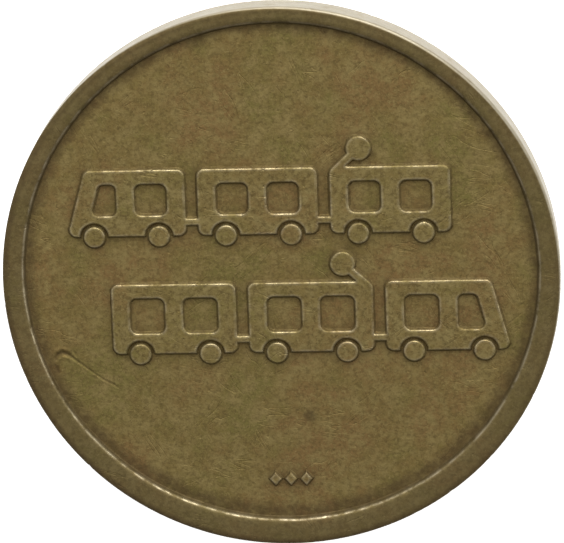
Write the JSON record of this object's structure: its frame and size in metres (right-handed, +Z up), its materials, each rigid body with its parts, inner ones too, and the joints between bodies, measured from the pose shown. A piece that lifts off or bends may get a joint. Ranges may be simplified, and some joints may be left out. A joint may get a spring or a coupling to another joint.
{
  "type": "transit token",
  "caption": "Round struck brass fare token with a raised rim, a smooth edge and raised trolley trains on its face.",
  "frame": {"origin": "centre of the underside, on the plane that the back rim rests on", "axes": "+Z up out of the front face, +Y to the top of the front design, +X to its right"},
  "size_m": [0.025, 0.025, 0.0016],
  "materials": {
    "field_brass": "aged satin, brown and olive patina",
    "rim_brass": "aged satin, rubbed at the corners",
    "relief_brass": "aged satin, rubbed along the edges"
  },
  "bodies": {
    "root": {"planchet": "field_brass", "front_rim": "rim_brass", "back_rim": "rim_brass", "upper_train": "relief_brass", "upper_wheels": "relief_brass", "lower_train": "relief_brass", "lower_wheels": "relief_brass", "mint_mark": "relief_brass", "back_wheel": "relief_brass", "back_pellets": "relief_brass"}
  },
  "joints": []
}
